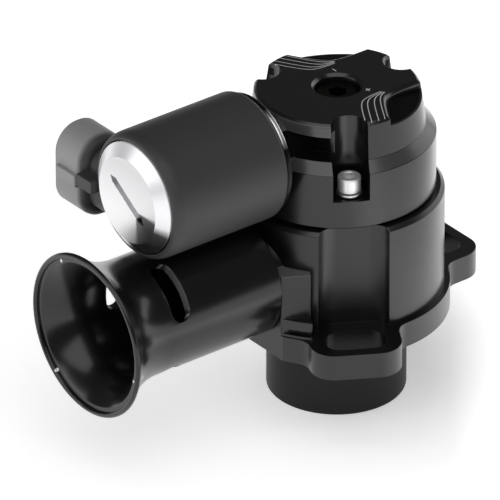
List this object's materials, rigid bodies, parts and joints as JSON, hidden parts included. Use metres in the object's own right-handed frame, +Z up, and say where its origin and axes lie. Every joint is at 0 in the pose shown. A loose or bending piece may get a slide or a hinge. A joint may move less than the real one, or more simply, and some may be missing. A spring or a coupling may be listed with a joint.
{
  "type": "blow off valve",
  "caption": "Piston blow off valve with a slotted mounting flange, a flared trumpet outlet, and a solenoid pilot valve with a plug socket on its cap.",
  "frame": {"origin": "centre of the inlet spigot's foot, on the valve axis", "axes": "+Z up the valve axis to the cap, -X out along the trumpet and the solenoid, +Y towards the plug socket"},
  "size_m": [0.1105, 0.0694, 0.0856],
  "materials": {
    "black_anodised": "black anodised, satin",
    "black_polished": "black anodised, polished",
    "bright_steel": "turned, bright",
    "plain_steel": "turned, plain",
    "spring_steel": "drawn wire",
    "piston_alloy": "turned, plain",
    "brass": "turned, plain",
    "copper": "enamelled copper wire",
    "cover_plastic": "moulded, matte",
    "bobbin_plastic": "moulded, natural",
    "rubber": "matte"
  },
  "bodies": {
    "housing": {"body": "black_anodised", "trumpet": "black_polished", "head": "black_anodised", "head_screw_1": "bright_steel", "screw_washer_1": "bright_steel", "head_screw_2": "bright_steel", "screw_washer_2": "bright_steel", "head_screw_3": "bright_steel", "screw_washer_3": "bright_steel", "main_spring": "spring_steel", "head_o_ring": "rubber", "trumpet_o_ring": "rubber", "solenoid_cover": "cover_plastic", "solenoid_end_cap": "bright_steel", "solenoid_rear_plate": "bright_steel", "solenoid_yoke": "plain_steel", "coil_bobbin": "bobbin_plastic", "coil_winding": "copper", "core_tube": "plain_steel", "core_tube_o_ring": "rubber", "plunger_spring": "spring_steel", "lower_terminal": "brass", "upper_terminal": "brass"},
    "piston": {"piston": "piston_alloy", "piston_o_ring": "rubber"},
    "adjuster": {"preload_adjuster": "brass", "adjuster_o_ring": "rubber"},
    "spring_seat": {"spring_seat": "piston_alloy"},
    "plunger": {"solenoid_plunger": "plain_steel", "plunger_seal": "rubber"}
  },
  "joints": [
    {"name": "piston_lift", "type": "slide", "parent": "housing", "child": "piston", "axis": [0, 0, 1], "range_m": [0, 0.01], "stiffness_N_per_m": 2500, "springref_m": -0.0116, "deforming": ["main_spring"]},
    {"name": "adjuster_turn", "type": "hinge", "parent": "housing", "child": "adjuster", "pos_m": [0, 0, 0.074], "axis": [0, 0, 1], "range_deg": [0, 1620]},
    {"name": "seat_slide", "type": "slide", "parent": "housing", "child": "spring_seat", "axis": [0, 0, -1], "range_m": [0, 0.0046]},
    {"name": "plunger_pull", "type": "slide", "parent": "housing", "child": "plunger", "axis": [-1, 0, 0], "range_m": [0, 0.0023], "stiffness_N_per_m": 400, "springref_m": -0.004, "deforming": ["plunger_spring"]}
  ],
  "couplings": [
    {"joint": "seat_slide", "follows": "adjuster_turn", "m_per_rad": 0.00015915}
  ]
}
